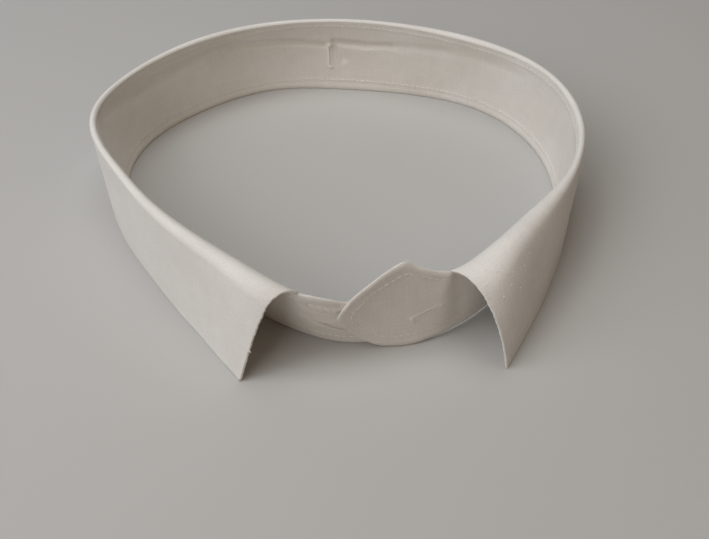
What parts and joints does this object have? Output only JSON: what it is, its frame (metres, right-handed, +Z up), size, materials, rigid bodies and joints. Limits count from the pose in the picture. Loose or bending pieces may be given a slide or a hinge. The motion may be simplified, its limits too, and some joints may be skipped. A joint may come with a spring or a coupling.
{
  "type": "detachable shirt collar",
  "caption": "Stiff white turn-down detachable shirt collar, lapped in a closed loop with pointed leaf and buttonholed band.",
  "frame": {"origin": "centre of the collar's outline seen from above, at the level that its lower edges stand on", "axes": "+Z up out of the neck opening, -Y to the front where the tabs lap, +X to the viewer's right"},
  "size_m": [0.184, 0.1794, 0.0361],
  "materials": {
    "band_cotton": "matte",
    "leaf_cotton": "matte"
  },
  "bodies": {
    "root": {"band": "band_cotton", "leaf": "leaf_cotton"}
  },
  "joints": []
}
